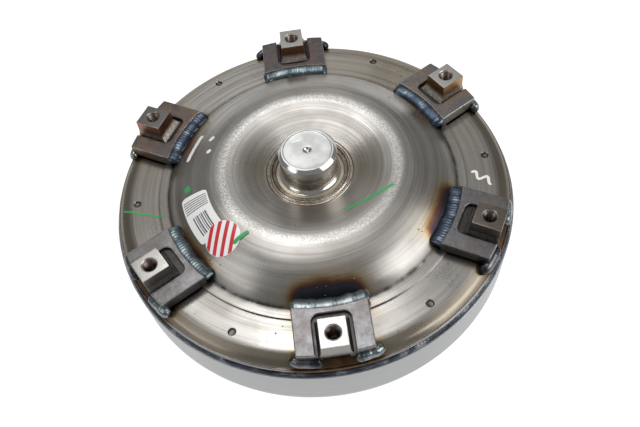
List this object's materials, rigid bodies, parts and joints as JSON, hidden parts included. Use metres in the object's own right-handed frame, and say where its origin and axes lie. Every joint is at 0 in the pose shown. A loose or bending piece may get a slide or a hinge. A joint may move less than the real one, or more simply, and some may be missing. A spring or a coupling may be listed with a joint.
{
  "type": "torque converter",
  "caption": "Welded automotive torque converter with drive lugs round a domed cover, a crank pilot, a slotted pump hub, and a lock-up clutch, damper, turbine and stator inside.",
  "frame": {"origin": "centre of the impeller hub end face, on the shaft axis", "axes": "+Z along the shaft axis towards the engine, so the cover, pilot and drive lugs are up"},
  "size_m": [0.307, 0.307, 0.1689],
  "materials": {
    "cover_steel": "turned, with weld heat tint",
    "lug_steel": "forged, with machined boss faces",
    "weld_steel": "as welded",
    "shell_steel": "satin",
    "hub_steel": "ground",
    "pressed_steel": "pressed sheet",
    "machined_steel": "machined",
    "rivet_steel": "satin",
    "spring_steel": "oiled",
    "bearing_steel": "ground",
    "cage_brass": "pressed",
    "stator_aluminium": "as cast",
    "friction_paper": "bonded friction lining",
    "seal_polymer": "moulded",
    "label_film": "printed label film",
    "paint_mark": "hand-applied marking paint"
  },
  "bodies": {
    "housing": {"front_cover": "cover_steel", "pilot_hub": "cover_steel", "drive_lug_1": "lug_steel", "drive_lug_2": "lug_steel", "drive_lug_3": "lug_steel", "drive_lug_4": "lug_steel", "drive_lug_5": "lug_steel", "drive_lug_6": "lug_steel", "closure_weld": "weld_steel", "impeller_shell": "shell_steel", "impeller_hub": "hub_steel", "impeller_blades": "pressed_steel", "balance_weight": "shell_steel", "front_bearing_race": "bearing_steel", "rear_bearing_race": "bearing_steel"},
    "turbine": {"turbine_shell": "pressed_steel", "turbine_blades": "pressed_steel", "turbine_hub": "machined_steel", "damper_driven_plate": "pressed_steel", "turbine_rivet_1": "rivet_steel", "turbine_rivet_2": "rivet_steel", "turbine_rivet_3": "rivet_steel", "turbine_rivet_4": "rivet_steel", "turbine_rivet_5": "rivet_steel", "turbine_rivet_6": "rivet_steel", "piston_seal_ring": "seal_polymer", "middle_bearing_race": "bearing_steel"},
    "damper_drive": {"damper_front_plate": "pressed_steel", "damper_rear_plate": "pressed_steel", "damper_spring_1": "spring_steel", "damper_spring_2": "spring_steel", "damper_spring_3": "spring_steel", "damper_spring_4": "spring_steel", "damper_spring_5": "spring_steel", "damper_spring_6": "spring_steel", "damper_pin_1": "rivet_steel", "damper_pin_2": "rivet_steel", "damper_pin_3": "rivet_steel"},
    "piston": {"lockup_piston": "pressed_steel", "friction_lining": "friction_paper"},
    "stator": {"stator_wheel": "stator_aluminium", "clutch_outer_race": "machined_steel", "roller_cage": "cage_brass", "clutch_roller_1": "bearing_steel", "clutch_roller_2": "bearing_steel", "clutch_roller_3": "bearing_steel", "clutch_roller_4": "bearing_steel", "clutch_roller_5": "bearing_steel", "clutch_roller_6": "bearing_steel", "clutch_roller_7": "bearing_steel", "clutch_roller_8": "bearing_steel", "stator_front_cap": "stator_aluminium", "stator_rear_cap": "stator_aluminium", "stator_snap_ring": "spring_steel"},
    "clutch_race": {"clutch_inner_race": "machined_steel"},
    "front_needles": {"front_bearing_cage": "bearing_steel"},
    "middle_needles": {"middle_bearing_cage": "bearing_steel"},
    "rear_needles": {"rear_bearing_cage": "bearing_steel"}
  },
  "joints": [
    {"name": "turbine_spin", "type": "hinge", "parent": "housing", "child": "turbine", "pos_m": [0, 0, 0.112], "axis": [0, 0, 1], "continuous": true},
    {"name": "damper_twist", "type": "hinge", "parent": "turbine", "child": "damper_drive", "pos_m": [0, 0, 0.1268], "axis": [0, 0, 1], "range_deg": [-5, 5], "stiffness_Nm_per_rad": 400},
    {"name": "piston_slide", "type": "slide", "parent": "damper_drive", "child": "piston", "axis": [0, 0, 1], "range_m": [0, 0.0008]},
    {"name": "stator_spin", "type": "hinge", "parent": "housing", "child": "stator", "pos_m": [0, 0, 0.079], "axis": [0, 0, 1], "continuous": true},
    {"name": "clutch_race_spin", "type": "hinge", "parent": "housing", "child": "clutch_race", "pos_m": [0, 0, 0.0785], "axis": [0, 0, 1], "continuous": true},
    {"name": "front_needles_spin", "type": "hinge", "parent": "housing", "child": "front_needles", "pos_m": [0, 0, 0.1336], "axis": [0, 0, 1], "continuous": true},
    {"name": "middle_needles_spin", "type": "hinge", "parent": "housing", "child": "middle_needles", "pos_m": [0, 0, 0.088], "axis": [0, 0, 1], "continuous": true},
    {"name": "rear_needles_spin", "type": "hinge", "parent": "housing", "child": "rear_needles", "pos_m": [0, 0, 0.0687], "axis": [0, 0, 1], "continuous": true}
  ],
  "couplings": [
    {"joint": "front_needles_spin", "follows": "turbine_spin", "ratio": 0.5},
    {"joint": "middle_needles_spin", "follows": "turbine_spin", "ratio": 0.5},
    {"joint": "rear_needles_spin", "follows": "stator_spin", "ratio": 0.5}
  ]
}
